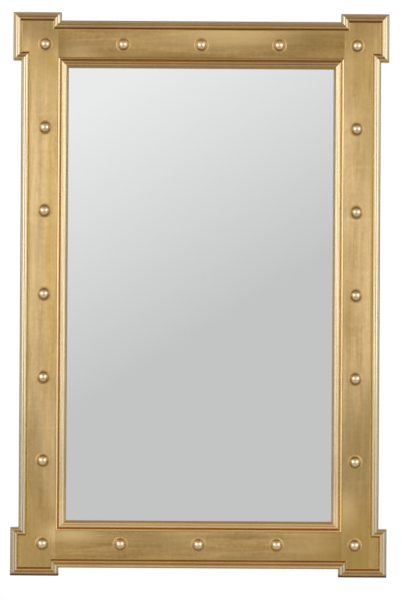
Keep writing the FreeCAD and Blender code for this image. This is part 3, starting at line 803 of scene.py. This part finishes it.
def recessed_screws(node, material):
    """The screws of a node with a cross recess in each head, in place of the plain ones."""
    shell = welded(node)
    middles = sorted((head_middle(part) for part in loose_parts(shell)), key=tuple)
    piece = shaped_object(node + "_recessed", shell)
    cutter = cross_cutter(middles)
    cut = piece.modifiers.new("recess", "BOOLEAN")
    cut.operation = "DIFFERENCE"
    cut.solver = "EXACT"
    cut.object = cutter
    shaped = piece.evaluated_get(bpy.context.evaluated_depsgraph_get())
    mesh = bpy.data.meshes.new_from_object(shaped)
    piece.modifiers.clear()
    piece.data = mesh
    bpy.data.objects.remove(cutter)
    mesh.shade_smooth()
    mesh.set_sharp_from_angle(angle=SHARP_ANGLE)
    mesh.materials.clear()
    mesh.materials.append(material)
    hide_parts(node)
    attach(piece, "frame")


def dress(node, material):
    """Gives every slot of a CAD node one material."""
    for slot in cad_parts[node].material_slots:
        slot.material = material


def long_axis(node):
    """The letter of the axis that a member runs along."""
    low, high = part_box(node)
    size = high - low
    return "Z" if size.z > size.x else "X"


def moulding_side(node):
    """The side of the mirror that a length of moulding is on, such as outer_top or sight_left."""
    low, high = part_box(node)
    part = "sight" if node.startswith("inner_") else "outer"
    if long_axis(node) == "Z":
        return part + ("_left" if low.x + high.x < 0.0 else "_right")
    return part + ("_bottom" if low.z + high.z < 0.0 else "_top")


def dress_nodes():
    """Gives every CAD node its material, and the screws their recesses."""
    friezes = {
        "X": gilding("rail_gilding", "X", RAIL_FINISH, frieze_spotting),
        "Z": gilding("stile_gilding", "Z", STILE_FINISH, frieze_spotting),
    }
    mouldings = {side: moulding_gilding(side) for side in MOULDING_LEAVES}
    plain = {name: plain_stuff(name, **stuff) for name, stuff in PLAIN_STUFFS.items()}
    others = {
        "dome_studs": stud_gilding(),
        "mirror_pane": silvered_glass(),
        "backing_board": hardboard(),
        "corner_dowels": plain["dowel_wood"],
        "glazing_tape": plain["glazing_tape"],
        "foam_strips": plain["foam"],
        "wall_bumpers": plain["bumper_rubber"],
    }
    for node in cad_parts:
        if node in others:
            dress(node, others[node])
        elif "moulding" in node or node.startswith("ear_"):
            dress(node, mouldings[moulding_side(node)])
        elif node.startswith("frame_"):
            dress(node, friezes[long_axis(node)])
        elif node in RECESSED_NODES:
            recessed_screws(node, plain["zinc"])
        else:
            dress(node, plain["zinc"])


def make_camera():
    """A long lens square to the mirror, with the photograph's small roll and pitch."""
    picture_height = PICTURE_HEIGHT_PIXELS * METRES_PER_PIXEL
    lens = bpy.data.cameras.new("camera")
    lens.sensor_fit = "VERTICAL"
    lens.sensor_height = SENSOR_HEIGHT_MM
    lens.lens = SENSOR_HEIGHT_MM * CAMERA_DISTANCE / picture_height
    camera = linked_object("camera", lens)
    aim = Vector((AIM_RIGHT_PIXELS * METRES_PER_PIXEL, MOULDING_FACE, -AIM_DOWN_PIXELS * METRES_PER_PIXEL))
    back = Vector((0.0, math.cos(CAMERA_PITCH), math.sin(CAMERA_PITCH)))
    camera.location = aim - back * CAMERA_DISTANCE
    camera.rotation_euler = (QUARTER_TURN + CAMERA_PITCH, -CAMERA_ROLL, 0.0)
    bpy.context.scene.camera = camera


def make_panel(name, side, up, height, radiance):
    """One area lamp, a soft panel turned towards the mirror's axis; side is -1 left, 1 right."""
    lamp = bpy.data.lights.new(name, "AREA")
    lamp.shape = "RECTANGLE"
    lamp.size = SOFTBOX_WIDTH
    lamp.size_y = height
    lamp.energy = radiance * math.pi * SOFTBOX_WIDTH * height
    lamp.color = SOFTBOX_COLOUR
    panel = linked_object(name, lamp)
    panel.location = (side * SOFTBOX_OUT, -SOFTBOX_FRONT, up)
    inwards = Vector((-side * SOFTBOX_OUT, SOFTBOX_FRONT, 0.0))
    panel.rotation_euler = inwards.to_track_quat("-Z", "Y").to_euler()
    panel.visible_camera = False


def make_world():
    """Soft surroundings: grey card in front, dim ceiling and sides, white behind the mirror."""
    world = bpy.data.worlds.new("studio")
    world.use_nodes = True
    tree = world.node_tree
    right, behind, up = components(tree, add(tree, "ShaderNodeTexCoord").outputs["Generated"])
    front = math_node(tree, "MAXIMUM", math_node(tree, "MULTIPLY", behind, -1.0), LEAST_FRONT)
    slope = weighted_sum(tree, (right, CARD_SLOPE_RIGHT), (up, CARD_SLOPE_UP))
    slope = math_node(tree, "DIVIDE", slope, front)
    level = remap(tree, slope, CARD_BRIGHT_END, CARD_DIM_START, CARD_BRIGHT, CARD_DIM)
    down = math_node(tree, "MULTIPLY", up, -1.0)
    aside = math_node(tree, "ABSOLUTE", right)
    zones = [
        (aside, SIDE_REACH, SIDE_LIGHT),
        (behind, REAR_REACH, REAR_LIGHT),
        (up, UP_REACH, UP_LIGHT),
        (up, TOP_REACH, TOP_LIGHT),
        (down, DOWN_REACH, DOWN_LIGHT),
        (behind, WHITE_REACH, WHITE_LIGHT),
    ]
    for towards, reach, light in zones:
        share = remap(tree, towards, *reach, 0.0, 1.0, True)
        level = mix(tree, share, level, light)
    connect(tree, level, tree.nodes["Background"].inputs["Color"])
    bpy.context.scene.world = world


def make_floor():
    """A plain pale floor, well below the mirror."""
    signs = ((-1, -1), (1, -1), (1, 1), (-1, 1))
    corners = [(x * FLOOR_REACH, y * FLOOR_REACH, -FLOOR_DROP) for x, y in signs]
    mesh = bpy.data.meshes.new("floor")
    mesh.from_pydata(corners, [], [(0, 1, 2, 3)])
    mesh.materials.append(floor_paper())
    floor = linked_object("floor", mesh)


dress_nodes()
make_camera()
for side_name, side in (("left", -1), ("right", 1)):
    make_panel(f"softbox_{side_name}", side, SOFTBOX_UP, SOFTBOX_HEIGHT, SOFTBOX_RADIANCE)
    make_panel(f"fill_{side_name}", side, FILL_UP, FILL_HEIGHT, FILL_RADIANCE)
make_world()
make_floor()
bpy.context.scene.view_settings.view_transform = "Standard"
